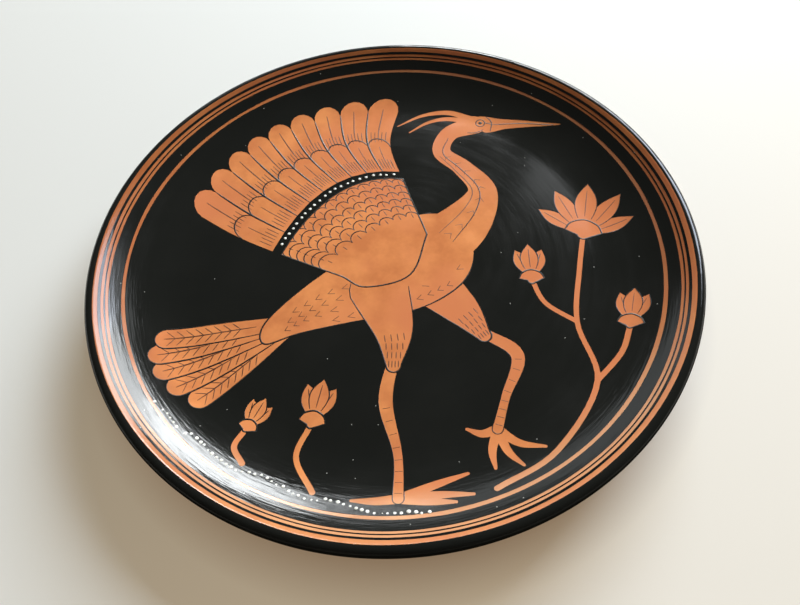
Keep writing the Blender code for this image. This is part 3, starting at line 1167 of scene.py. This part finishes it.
# %% [markdown]
# ### The wing
# The raised wing is a fan: rows of scale-like coverts near the shoulder, a dotted band, and long feathers
# in two lengths. Drawn one by one, they would hardly run evenly. So three quills are given, and a
# point of the wing is found from two shares: across, from the leading quill to the inner one, and along,
# from root to tip.

# %% The wing's quills
LEADING_QUILL = [(18, 12), (10, 45), (4, 75), (11, 103)]
MIDDLE_QUILL = [(0, 6), (-22, 39), (-44, 67), (-57, 91)]
INNER_QUILL = [(-24, -9), (-50, 5), (-75, 20), (-97, 37)]
QUILL_STEPS = 14
guides = [curve(quill, QUILL_STEPS) for quill in (LEADING_QUILL, MIDDLE_QUILL, INNER_QUILL)]


def wing_point(across, along):
    """A point of the wing, on the parabola through the three quills."""
    shares = ((1 - across) * (1 - 2 * across), 4 * across * (1 - across), across * (2 * across - 1))
    quill = sum(share * guide for share, guide in zip(shares, guides))
    place = along * (len(quill) - 1)
    step = min(int(place), len(quill) - 2)
    return quill[step] + (place - step) * (quill[step + 1] - quill[step])


def wing_line(across, start, end, count=14):
    return np.array([wing_point(across, along) for along in np.linspace(start, end, count)])


def wing_row(along, count=40):
    return np.array([wing_point(across, along) for across in np.linspace(0.0, 1.0, count)])


def feather(number, count, start, end, fullness=1.1):
    """The two sides of a feather and its round tip."""
    left = wing_line(number / count, start, end)
    right = wing_line((number + 1) / count, start, end)
    middle, half = (left[-1] + right[-1]) / 2.0, (left[-1] - right[-1]) / 2.0
    out = left[-1] - left[-2] + right[-1] - right[-2]
    out *= fullness * np.linalg.norm(half) / np.linalg.norm(out)
    tip = [middle + half * math.cos(t) + out * math.sin(t) for t in np.linspace(0.0, math.pi, 9)]
    return left, np.array(tip), right


# %% Coverts
COVERTS_END = 0.38
COVERT_ROWS = [(0.345, 11), (0.30, 10), (0.255, 10), (0.21, 9), (0.165, 8), (0.12, 7)]
SCALE_LENGTH = 0.03
SCALE_FULLNESS = 0.95
SCALE_QUILL = (-0.012, 0.016)
UNDER_SHOULDER = [(-13, -16), (8, -11)]

shoulder = wing_row(0.0)
sides = [wing_line(0.0, 0.0, COVERTS_END), wing_row(COVERTS_END), wing_line(1.0, COVERTS_END, 0.0)]
outlined(np.vstack(sides + [curve([shoulder[-1], *UNDER_SHOULDER, shoulder[0]])]), LINE)
for along, scales in COVERT_ROWS:
    for i in range(scales):
        relief_line(feather(i, scales, along - SCALE_LENGTH, along, SCALE_FULLNESS)[1])
        middle = (i + 0.5) / scales
        dilute_line(straight(*(wing_point(middle, along + step) for step in SCALE_QUILL)))
print(f"coverts: {sum(scales for _, scales in COVERT_ROWS)} scales")

# %% Long feathers
FEATHERS = 9
BAND_END = 0.435
SECONDARIES_END = 0.64
PRIMARIES_END = 0.96
PRIMARY_QUILL = (SECONDARIES_END + 0.05, PRIMARIES_END + 0.02)
SECONDARY_QUILL = (BAND_END + 0.02, SECONDARIES_END)
BARB_PLACES = (0.20, 0.36, 0.64, 0.80)
BARBS = [(SECONDARIES_END + 0.04, SECONDARIES_END + 0.13), (BAND_END + 0.02, BAND_END + 0.10)]

for i in range(FEATHERS):
    left, tip, right = feather(i, FEATHERS, BAND_END, PRIMARIES_END)
    bare.append(np.vstack([left, tip[1:-1], right[::-1]]))
    middle = (i + 0.5) / FEATHERS
    dilute_line(wing_line(middle, *PRIMARY_QUILL), FINE)
    dilute_line(wing_line(middle, *SECONDARY_QUILL))
    for share in BARB_PLACES:
        for stretch in BARBS:
            dilute_line(wing_line((i + share) / FEATHERS, *stretch))
    relief_line(feather(i, FEATHERS, BAND_END, SECONDARIES_END)[1], LINE)
    if i:
        relief_line(wing_line(i / FEATHERS, BAND_END, PRIMARIES_END), BOLD)
print(f"picture: {len(bare)} bare shapes, {len(relief)} relief strokes, {len(dilute)} dilute strokes")

# %% [markdown]
# ## The black coat with windows
# The coat on the floor and cove is the ground of the picture. Boolean cuts through a thin film are slow
# and leave poor faces, so we lay a net of points over the coat, add every outline as edges that must be
# kept, and let Blender's constrained Delaunay triangulation fill the net. Triangles whose middle lies
# inside a bare shape are left out. What is left gets the thickness of the film, and normals from the
# dish's own line, so the cove shades smoothly whatever the triangles are.

# %% The coat's edge
TONDO_INWARD = 0.33 * MM
TONDO_RADIUS = (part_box("tondo_gloss")[1].x - TONDO_INWARD) / MM
EDGE_POINTS = 720
EDGE_WAVER = 0.35
EDGE_BUMPS = 1.7
EDGE_SEED = 0.37


def wavering_edge():
    """The coat's outer edge, which runs a little in and out."""
    edge = []
    for k in range(EDGE_POINTS):
        angle = math.tau * k / EDGE_POINTS
        way = Vector((math.cos(angle), math.sin(angle), EDGE_SEED)) * EDGE_BUMPS
        radius = TONDO_RADIUS + EDGE_WAVER * noise.noise(way)
        edge.append((radius * math.cos(angle), radius * math.sin(angle)))
    return np.array(edge)


coat_edge = wavering_edge()
edge_radii = np.linalg.norm(coat_edge, axis=1)
print(f"the coat's edge runs between {edge_radii.min():.2f} and {edge_radii.max():.2f} mm")

# %% The net
NET_STEP = 2.5
NET_CLEARANCE = 0.7
SAME_POINT = 1e-5


def net_points(outlines):
    """Rings of points over the tondo, kept clear of the outlines."""
    marks = np.vstack(outlines)
    tree = kdtree.KDTree(len(marks))
    for i, mark in enumerate(marks):
        tree.insert((mark[0], mark[1], 0.0), i)
    tree.balance()
    points = [Vector((0.0, 0.0))]
    for number in range(1, int(TONDO_RADIUS / NET_STEP)):
        radius = number * NET_STEP
        count = int(math.tau * radius / NET_STEP)
        for k in range(count):
            angle = math.tau * (k + 0.5 * (number % 2)) / count
            point = Vector((radius * math.cos(angle), radius * math.sin(angle)))
            if tree.find(point.to_3d())[2] > NET_CLEARANCE:
                points.append(point)
    return points


def triangulate(outlines):
    """Points and triangles of the tondo, with every outline kept as edges."""
    points, edges = [], []
    for loop in outlines:
        start = len(points)
        points += [Vector(p) for p in loop]
        edges += [(start + k, start + (k + 1) % len(loop)) for k in range(len(loop))]
    points += net_points(outlines)
    made = geometry.delaunay_2d_cdt(points, edges, [], 0, SAME_POINT)
    return np.array([tuple(p) for p in made[0]]), np.array(made[2])


# %% From the drawing to the dish
def cove_run(x, y):
    """How far a place of the drawing lies out in the cove, in metres."""
    return max(math.hypot(x, y) * MM - FLOOR_RADIUS, 0.0)


def on_dish(x, y, over_clay):
    """A place on the upper side, in metres, from drawing millimetres."""
    drop = math.sqrt((COVE_RADIUS - over_clay) ** 2 - cove_run(x, y) ** 2)
    return (x * MM, y * MM, FLOOR_HEIGHT + COVE_RADIUS - drop)


def dish_normal(x, y):
    """The upper side's normal, which leans towards the axis in the cove."""
    lean = cove_run(x, y) / COVE_RADIUS
    inward = -Vector((x, y, 0.0)).normalized()
    return inward * lean + Vector((0.0, 0.0, math.sqrt(1.0 - lean**2)))


print(f"the cove lies {on_dish(TONDO_RADIUS, 0.0, 0.0)[2] / MM:.1f} mm high at the coat's edge")

# %% Cut the windows
def make_tondo():
    points, triangles = triangulate([coat_edge] + bare)
    painted = triangles[~inside_any(points[triangles].mean(axis=1), bare)]
    a, b, c = (points[painted[:, k]] for k in range(3))
    clockwise = (b - a)[:, 0] * (c - a)[:, 1] < (b - a)[:, 1] * (c - a)[:, 0]
    painted[clockwise] = painted[clockwise][:, [0, 2, 1]]
    used, faces = np.unique(painted, return_inverse=True)
    faces = faces.reshape(painted.shape).tolist()
    count = len(used)

    edges = dict.fromkeys(edge for a, b, c in faces for edge in ((a, b), (b, c), (c, a)))
    walls = [(b, a, a + count, b + count) for a, b in edges if (b, a) not in edges]
    lower = [(c + count, b + count, a + count) for a, b, c in faces]
    places = [on_dish(*points[i], height) for height in (FILM, -SINK) for i in used]
    mesh = bpy.data.meshes.new("tondo_black")
    mesh.from_pydata(places, [], faces + lower + walls)
    mesh.materials.append(black_gloss)
    mesh.shade_smooth()

    normals = [dish_normal(*points[i]) for i in used]
    corner_normals = [normals[corner] for face in faces for corner in face]
    corner_normals += [-normals[corner - count] for face in lower for corner in face]
    for wall in mesh.polygons[2 * len(faces) :]:
        corner_normals += [wall.normal.copy()] * len(wall.vertices)
    mesh.normals_split_custom_set(corner_normals)
    print(f"tondo_black: {len(faces)} triangles on top, {len(walls)} walls")
    return add_object("tondo_black", mesh)


tondo_black = make_tondo()
hand_over(tondo_black, "tondo_gloss")

# %% [markdown]
# ## Strokes of slip on the clay
# Relief lines are thick slip drawn with a fine point, so they stand up from the clay. Dilute lines are
# thin, brown and flat. A curve's own bevel could give them a thickness, but not a flattened one that
# changes along the path. So a Geometry Nodes tree sweeps a flattened round along each path, as wide as the
# stroke at that point. Every stroke swells a little and thins towards its ends.

# %% The tree that draws strokes
STROKE_SIDES = 8


def make_stroke_tree():
    tree, given = start_tree("draw_strokes", {"Flatness": "Float", "Material": "Material"})
    upright = add_node(tree, "GeometryNodeSetCurveNormal", {"Curve": given["Geometry"]}, mode="Z_UP")
    inputs = {"Resolution": STROKE_SIDES, "Radius": 1.0}
    point = add_node(tree, "GeometryNodeCurvePrimitiveCircle", inputs, mode="RADIUS")
    squash = add_node(tree, "ShaderNodeCombineXYZ", {"X": 1.0, "Y": given["Flatness"], "Z": 1.0})
    inputs = {"Geometry": point.outputs["Curve"], "Scale": squash.outputs[0]}
    press = add_node(tree, "GeometryNodeTransform", inputs)
    inputs = {
        "Curve": upright.outputs[0],
        "Profile Curve": press.outputs[0],
        "Scale": add_node(tree, "GeometryNodeInputRadius").outputs[0],
        "Fill Caps": True,
    }
    sweep = add_node(tree, "GeometryNodeCurveToMesh", inputs)
    return end_tree(tree, sweep.outputs[0], given["Material"])


stroke_tree = make_stroke_tree()

# %% Draw the strokes
STROKE_TAPER = 0.45
RELIEF_FLATNESS = 0.24
DILUTE_FLATNESS = 0.12


def lay_paths(name, strokes, over_clay):
    """A curve that holds (line, width) strokes, in drawing millimetres, laid on the dish."""
    paths = bpy.data.curves.new(name, "CURVE")
    paths.dimensions = "3D"
    for line, width in strokes:
        spline = paths.splines.new("POLY")
        spline.points.add(len(line) - 1)
        closed = np.allclose(line[0], line[-1])
        for k, (point, (x, y)) in enumerate(zip(spline.points, line)):
            arch = math.sin(math.pi * (k / (len(line) - 1)))
            swell = 1.0 if closed else STROKE_TAPER + (1.0 - STROKE_TAPER) * arch**0.5
            point.co = (*on_dish(x, y, over_clay), 1.0)
            point.radius = 0.5 * width * MM * swell
    return paths


def draw_strokes(name, strokes, flatness, material):
    values = {"Flatness": flatness, "Material": material}
    hand_over(run_tree(name, lay_paths(name, strokes, 0.0), stroke_tree, values))


draw_strokes("relief_lines", relief, RELIEF_FLATNESS, relief_black)
draw_strokes("dilute_lines", dilute, DILUTE_FLATNESS, dilute_brown)

# %% [markdown]
# ## White dots
# The ground under the crane is a wandering line of white dots, each a drop from the tip of the brush, and
# a second row fills the band across the wing. Dots set by hand would be many. A Geometry Nodes tree spaces
# points along a line, sets a small flattened drop on each, and finds the black coat beneath to sit on and
# lean with. A fixed seed varies their size.

# %% The tree that sets dots
DROP_SUBDIVISIONS = 2
DROP_FLATNESS = 0.32
DROP_LARGEST = 1.15
DROP_STRAY = 0.5
RANDOM_LOW, RANDOM_HIGH, RANDOM_RESULT = 2, 3, 1


def make_dot_tree():
    sizes = {"Spacing": "Float", "Dot Radius": "Float", "Smallest": "Float"}
    sizes.update({"Surface": "Object", "Seed": "Int", "Material": "Material"})
    tree, given = start_tree("set_dots", sizes)

    def random_number(low, high, seed_step):
        seed = math_node(tree, "ADD", given["Seed"], seed_step)
        inputs = {RANDOM_LOW: low, RANDOM_HIGH: high, "Seed": seed}
        return add_node(tree, "FunctionNodeRandomValue", inputs, data_type="FLOAT").outputs[RANDOM_RESULT]

    inputs = {"Curve": given["Geometry"], "Length": given["Spacing"]}
    spaced = add_node(tree, "GeometryNodeResampleCurve", inputs, mode="LENGTH")
    stray = {}
    for axis, seed_step in (("X", 1), ("Y", 2)):
        chance = random_number(-DROP_STRAY, DROP_STRAY, seed_step)
        stray[axis] = math_node(tree, "MULTIPLY", chance, given["Dot Radius"])
    offset = add_node(tree, "ShaderNodeCombineXYZ", stray).outputs[0]
    shift = add_node(tree, "GeometryNodeSetPosition", {"Geometry": spaced.outputs[0], "Offset": offset})

    inputs = {"Object": given["Surface"]}
    coat = add_node(tree, "GeometryNodeObjectInfo", inputs, transform_space="RELATIVE")
    normal = add_node(tree, "GeometryNodeInputNormal").outputs[0]
    inputs = {"Mesh": coat.outputs["Geometry"], "Value": normal}
    lean = add_node(tree, "GeometryNodeSampleNearestSurface", inputs, data_type="FLOAT_VECTOR")
    inputs = {"Vector": lean.outputs["Value"]}
    align = add_node(tree, "FunctionNodeAlignRotationToVector", inputs, axis="Z")
    inputs = {"Subdivisions": DROP_SUBDIVISIONS, "Radius": given["Dot Radius"]}
    drop = add_node(tree, "GeometryNodeMeshIcoSphere", inputs)
    inputs = {"Geometry": drop.outputs["Mesh"], "Scale": (1.0, 1.0, DROP_FLATNESS)}
    press = add_node(tree, "GeometryNodeTransform", inputs)
    inputs = {
        "Points": shift.outputs[0],
        "Instance": press.outputs[0],
        "Rotation": align.outputs[0],
        "Scale": random_number(given["Smallest"], DROP_LARGEST, 0),
    }
    put = add_node(tree, "GeometryNodeInstanceOnPoints", inputs)
    return end_tree(tree, put.outputs[0], given["Material"])


dot_tree = make_dot_tree()

# %% Set the dots
GROUND_LINE = [
    (6.3, -124), (-4.5, -123), (-14, -122.2), (-20.9, -120.5), (-24.6, -118), (-31, -115.9), (-40, -114.5),
    (-48, -110.2), (-56.2, -104.5), (-61, -102.8), (-68.5, -100.7), (-76.6, -94.6), (-82, -88.9),
    (-86.6, -84.4), (-91.6, -82.7), (-95.8, -77.8), (-99.8, -72.2), (-103.3, -69.2),
]
GROUND_SPACING, GROUND_RADIUS, GROUND_SMALLEST = 2.55 * MM, 0.80 * MM, 0.7
WING_SPACING, WING_RADIUS, WING_SMALLEST = 3.4 * MM, 0.7 * MM, 0.9
BAND_CLEAR = 2
DOT_SEED = 11


def set_dots(name, line, spacing, radius, smallest):
    """Sets white dots along a line given in drawing millimetres."""
    values = {"Spacing": spacing, "Dot Radius": radius, "Smallest": smallest}
    values.update({"Surface": tondo_black, "Seed": DOT_SEED, "Material": added_white})
    path = lay_paths(name, [(line, radius / MM)], FILM)
    hand_over(run_tree(name, path, dot_tree, values))


wing_band = wing_row((COVERTS_END + BAND_END) / 2.0)[BAND_CLEAR:-BAND_CLEAR]
set_dots("ground_dots", curve(GROUND_LINE, 6), GROUND_SPACING, GROUND_RADIUS, GROUND_SMALLEST)
set_dots("wing_dots", wing_band, WING_SPACING, WING_RADIUS, WING_SMALLEST)

# %% [markdown]
# ## The table
# The plate lies on a pale table. Light that bounces about a real room brightens such a table evenly, which
# many weak lights could imitate. A faint glow in the table's own material, painted light, does the same at
# no cost. It is weaker and warmer under the plate, a painted shadow where light comes off the clay, and
# stronger towards the near right. The table's own colour is darker towards the right, painted shade
# against the stronger daylight there.

# %% Floor
FLOOR_HALF = 3.0
FLOOR_ROUGHNESS = 0.7
# The table's colour, darker towards the right, is painted shade.
FLOOR_LEFT = (0.505, 0.564, 0.600, 1.0)
FLOOR_RIGHT = (0.388, 0.436, 0.466, 1.0)
# Painted light: the glow, weakest under the plate as a painted shadow.
GLOW_UNDER = (0.215, 0.140, 0.080, 1.0)
GLOW_LEFT = (0.268, 0.212, 0.142, 1.0)
GLOW_RIGHT = (0.445, 0.350, 0.236, 1.0)
NEARER = -0.7
FLOOR_SIDES = (-0.15, 0.20)
UNDER_PLATE = (0.134, 0.156)


def make_table_top():
    material, tree, shader = new_finish("table_top")
    nearer = math_node(tree, "MULTIPLY", place_part(tree, "Y"), NEARER)
    rightward = spread(tree, math_node(tree, "ADD", place_part(tree, "X"), nearer), FLOOR_SIDES)
    glow = blend_colours(tree, rightward, GLOW_LEFT, GLOW_RIGHT)
    clear_of_plate = spread(tree, axis_distance(tree), UNDER_PLATE)
    looks = {
        "Base Color": blend_colours(tree, rightward, FLOOR_LEFT, FLOOR_RIGHT),
        "Roughness": FLOOR_ROUGHNESS,
        "Emission Color": blend_colours(tree, clear_of_plate, GLOW_UNDER, glow),
        "Emission Strength": 1.0,
    }
    feed(tree, shader, looks)
    return material


floor_mesh = bpy.data.meshes.new("floor")
floor_corners = [(x * FLOOR_HALF, y * FLOOR_HALF, 0.0) for x, y in ((-1, -1), (1, -1), (1, 1), (-1, 1))]
floor_mesh.from_pydata(floor_corners, [], [(0, 1, 2, 3)])
floor_mesh.materials.append(make_table_top())
floor = add_object("floor", floor_mesh)
print(f"floor: {floor.dimensions.x:.1f} m wide")

# %% [markdown]
# ## The light
# Soft daylight comes from behind the plate and the right, and the near part of the cove mirrors a window
# with several panes. One light could do both, but then its size would fix the shadow and the reflection
# together. So the panes show only in the gloss, and a wide daylight and a weak warm fill only light the
# colours and cast the shadow.

# %% Lights
WINDOW_COLOUR = (0.95, 0.985, 1.0)
SIDE_COLOUR = (0.80, 0.87, 1.0)
DOOR_COLOUR = (0.93, 0.98, 1.0)
FILL_COLOUR = (1.0, 0.76, 0.50)
# Name, bearing and height in degrees, distance, width and height of the light, power, colour.
PANES = [
    ("window", 9.3, 29.0, 2.2, 0.44, 0.54, 17.8, WINDOW_COLOUR),
    ("window_pane", 23.0, 29.0, 2.2, 0.47, 0.72, 13.3, WINDOW_COLOUR),
    ("window_top", 30.0, 43.5, 2.2, 0.60, 0.40, 1.0, WINDOW_COLOUR),
    ("side_window", 46.0, 31.0, 2.5, 1.23, 0.92, 37.0, SIDE_COLOUR),
    ("doorway", -12.0, 27.0, 1.6, 0.70, 0.50, 1.05, DOOR_COLOUR),
]
SOFT_LIGHTS = [
    ("daylight", 35.0, 34.0, 2.2, 1.6, 1.1, 97.0, WINDOW_COLOUR),
    ("room_fill", 180.0, 30.0, 2.0, 2.4, 1.2, 2.9, FILL_COLOUR),
]


def make_light(name, bearing, height, distance, width, tall, power, colour):
    """A soft light that faces the plate, from a bearing to the right of straight ahead and a height."""
    light = bpy.data.lights.new(name, "AREA")
    light.shape = "RECTANGLE"
    light.size, light.size_y = width, tall
    light.energy = power
    light.color = colour
    lamp = add_object(name, light)
    turn_right, rise = math.radians(bearing), math.radians(height)
    ahead = Vector((math.sin(turn_right), math.cos(turn_right), 0.0))
    way = ahead * math.cos(rise) + Vector((0.0, 0.0, math.sin(rise)))
    lamp.location = way * distance
    lamp.rotation_euler = way.to_track_quat("Z", "Y").to_euler()
    return lamp


for pane in PANES:
    make_light(*pane).visible_diffuse = False
for soft_light in SOFT_LIGHTS:
    make_light(*soft_light).visible_glossy = False
print(f"light: {len(PANES)} panes, {len(SOFT_LIGHTS)} soft lights")

# %% The dim room
ROOM_COLOUR = (0.065, 0.063, 0.055, 1.0)

room = bpy.data.worlds.new("room")
room.use_nodes = True
feed(room.node_tree, room.node_tree.nodes["Background"], {"Color": ROOM_COLOUR, "Strength": 1.0})
bpy.context.scene.world = room
bpy.context.scene.view_settings.view_transform = "Standard"
print(f"room: {room.name}, shown with the {bpy.context.scene.view_settings.view_transform} transform")

# %% [markdown]
# ## The camera
# The camera looks down at the plate from the front, a little turned about its own line of sight. A Track
# To constraint could aim it, but not turn it, so we build its three axes and put them into its matrix.

# %% Camera
IMAGE_WIDTH = 800
FOCAL_PIXELS = 680.0
SENSOR_WIDTH = 36.0
CLIP_START = 0.01
CAMERA_TARGET = Vector((2.05, -35.2, 34.35)) * MM
CAMERA_DISTANCE = 295.5 * MM
CAMERA_HEIGHT = math.radians(57.7)
CAMERA_ROLL = math.radians(-4.83)

lens = bpy.data.cameras.new("camera")
lens.sensor_width = SENSOR_WIDTH
lens.sensor_fit = "HORIZONTAL"
lens.lens = SENSOR_WIDTH * FOCAL_PIXELS / IMAGE_WIDTH
lens.clip_start = CLIP_START
camera = add_object("camera", lens)
backwards = Vector((0.0, -math.cos(CAMERA_HEIGHT), math.sin(CAMERA_HEIGHT)))
level = Vector((1.0, 0.0, 0.0))
right = math.cos(CAMERA_ROLL) * level + math.sin(CAMERA_ROLL) * backwards.cross(level)
axes = Matrix((right, backwards.cross(right), backwards)).transposed().to_4x4()
camera.matrix_world = Matrix.Translation(CAMERA_TARGET + backwards * CAMERA_DISTANCE) @ axes
bpy.context.scene.camera = camera
print(f"camera: {lens.lens:.1f} mm lens")
